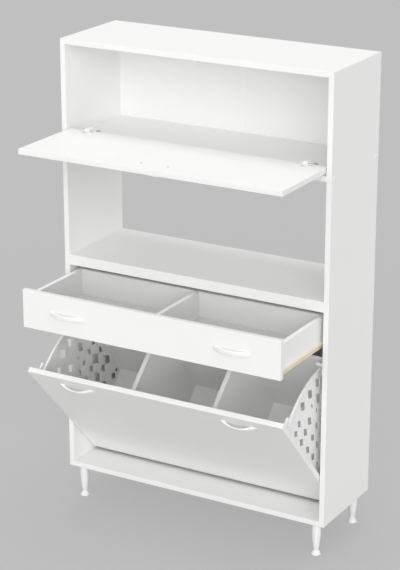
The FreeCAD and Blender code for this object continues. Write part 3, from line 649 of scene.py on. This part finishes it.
guide = add_block("guide_cheek", (0.0, -guide_deep / 2, 0.0), (guide_long, guide_deep / 2, guide_tall))
rings_along_x(guide_rings - 1)
bpy.ops.object.mode_set(mode="EDIT")
choose("VERT", lambda p: p[0].z > guide_tall - level and round(p[0].x / guide_step) in notch_rings)
bpy.ops.transform.translate(value=(0.0, 0.0, -guide_dip))
choose("EDGE", lambda p: all(q.z > guide_tall - level for q in p) and abs(p[0].y - p[1].y) > near)
bpy.ops.mesh.bevel(offset=guide_round, offset_type="OFFSET", segments=3, profile=0.5, affect="EDGES")
bpy.ops.object.mode_set(mode="OBJECT")
print("cheek faces", len(guide.data.polygons))

# %% Set the cheeks on the plates
steel = Finish("bare_steel")
rolled = steel.noise(steel.place(scale=(60.0, 900.0, 60.0)), scale=1.0, detail=3.0)
steel.set(Base_Color=steel.tint(rolled, (0.74, 0.74, 0.73), (0.62, 0.62, 0.61)),
          Roughness=0.34 + rolled * 0.16,
          Normal=steel.bump(rolled, strength=0.05, distance=0.0002))
steel.shader.inputs["Metallic"].default_value = 1.0

arm_half = 0.0083
behind_screws = 0.0085
guide_y = sum(c.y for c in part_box("hinge_arm_screws")) / 2 + behind_screws
places = []
for x in (-hinge_x, hinge_x):
    for turn in (0, 180):
        out = Matrix.Rotation(math.radians(turn), 4, "Z") @ Matrix.Translation((arm_half, 0.0, 0.0))
        places.append(Matrix.Translation((x, guide_y, plate_top)) @ out)
guides = set_group("hinge_guide_cheeks", guide, places, "carcass", "nickel_steel")
guides.data.materials[0] = steel.material
bpy.data.objects.remove(guide)
print("cheeks", len(places), "points", len(guides.data.vertices))

# %% [markdown]
# ## Nails in the backs
# Thin backs are nailed to the boards' rear edges. A nail's head is a low dome: a disc whose upper rim is
# bevelled almost over its whole height. The nails run along every board that a back covers, at equal steps,
# and they stay clear of the strip that joins the two halves.

# %% Model one nail head
nail_radius = 0.0024
nail_tall = 0.0008
nail_round = 0.0007

nail = add_disc(corners=20, radius=nail_radius, tall=nail_tall)
bpy.ops.object.mode_set(mode="EDIT")
choose("EDGE", lambda p: all(q.z > nail_tall - level for q in p))
bpy.ops.mesh.bevel(offset=nail_round, offset_type="OFFSET", segments=4, profile=0.5, affect="EDGES")
bpy.ops.object.mode_set(mode="OBJECT")
print("nail faces", len(nail.data.polygons))

# %% Nail the backs along the boards
def middle_of(node):
    low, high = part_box(node)
    return (low + high) / 2


rows = [middle_of(node).z for node in ("bottom_panel", "counter_shelf", "flap_shelf", "top_panel")]
columns = [middle_of("left_side_panel").x, middle_of("right_side_panel").x]
back_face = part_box("upper_back_left")[1].y
facing_back = Matrix.Rotation(math.radians(-90), 4, "X")
steps = 7
between_low = 3
between_high = 1
nail_spots = []
for z in rows:
    for i in range(steps + 1):
        nail_spots.append((columns[0] + (columns[1] - columns[0]) * i / steps, z))
for x in columns:
    for low, high, between in ((rows[0], rows[1], between_low), (rows[2], rows[3], between_high)):
        for i in range(between):
            nail_spots.append((x, low + (high - low) * (i + 1) / (between + 1)))
places = [Matrix.Translation((x, back_face, z)) @ facing_back for x, z in nail_spots]
nails = set_group("back_nails", nail, places, "carcass", "nickel_steel")
bpy.data.objects.remove(nail)
print("nails", len(nail_spots), "points", len(nails.data.vertices))

# %% [markdown]
# ## The studio
# The backdrop is one plain grey sheet, as wide as the picture and far beyond it. A broad soft lamp stands low
# in front and to the right, a weaker one hangs overhead, and an even sky fills the shadows. To the camera and
# in reflections, the sky shows the backdrop's own grey. The lamps are kept out of glossy reflections, because
# their glare would whiten the level boards when the cabinet is seen from behind.

# %% Lay the floor
floor_wide = 120.0
wall_grey = (0.533, 0.533, 0.533, 1.0)
lift_share = 0.7

bpy.ops.object.select_all(action="DESELECT")
bpy.ops.mesh.primitive_plane_add(size=floor_wide, location=(0.0, 0.0, 0.0))
floor = bpy.context.object
floor.name = "studio_floor"
paper = Finish("backdrop_paper")
paper_grain = paper.noise(paper.place(), scale=40.0, detail=2.0)
paper.set(Base_Color=paper.tint(paper_grain, (0.438, 0.438, 0.438), (0.43, 0.43, 0.43)), Roughness=0.9)
paper.shader.inputs["Specular IOR Level"].default_value = 0.0
lit = paper.node("ShaderNodeEmission", {}, {"Color": wall_grey, "Strength": 1.0})
lift = paper.node("ShaderNodeLightPath", output="Is Camera Ray") * lift_share
matte = Flow(paper, paper.shader.outputs[0])
paper.feed(paper.nodes["Material Output"].inputs["Surface"],
           paper.node("ShaderNodeMixShader", {}, {0: lift, 1: matte, 2: lit}))
floor.data.materials.append(paper.material)
floor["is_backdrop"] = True
print("floor laid", floor_wide, "m wide")

# %% Light the sky
sky_strength = 0.73
sky = bpy.data.worlds.new("studio_sky")
scene.world = sky
air = Tree(sky)
air.nodes.remove(air.nodes["Background"])
ray_kinds = ("Camera", "Glossy", "Transmission")
rays = [air.node("ShaderNodeLightPath", output="Is " + kind + " Ray") for kind in ray_kinds]
glow = air.node("ShaderNodeBackground", {}, {"Color": (1.0, 1.0, 1.0, 1.0), "Strength": sky_strength})
wall = air.node("ShaderNodeBackground", {}, {"Color": wall_grey, "Strength": 1.0})
seen = air.node("ShaderNodeMixShader", {}, {0: rays[0] | rays[1] | rays[2], 1: glow, 2: wall})
air.feed(air.nodes["World Output"].inputs["Surface"], seen)
print("sky with", len(air.nodes), "nodes")

# %% Hang the lamps
def hang_lamp(name, toward, energy, spread):
    light = bpy.data.lights.new(name, "SUN")
    light.energy = energy
    light.angle = math.radians(spread)
    lamp = bpy.data.objects.new(name, light)
    scene.collection.objects.link(lamp)
    lamp.visible_glossy = False
    lamp.rotation_mode = "QUATERNION"
    lamp.rotation_quaternion = Vector(toward).to_track_quat("Z", "Y")


hang_lamp("front_window", toward=(0.492, -0.853, 0.174), energy=2.25, spread=60)
hang_lamp("roof_window", toward=(0.0, 0.0, 1.0), energy=0.95, spread=30)
print("lamps are up")

# %% [markdown]
# ## The size of the whole
# The pieces drawn here must stay inside the CAD model's box, so the box that all shown pieces fill is printed.

# %% Print the size
low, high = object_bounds()
print("visual box", [round(v, 4) for v in low], [round(v, 4) for v in high])
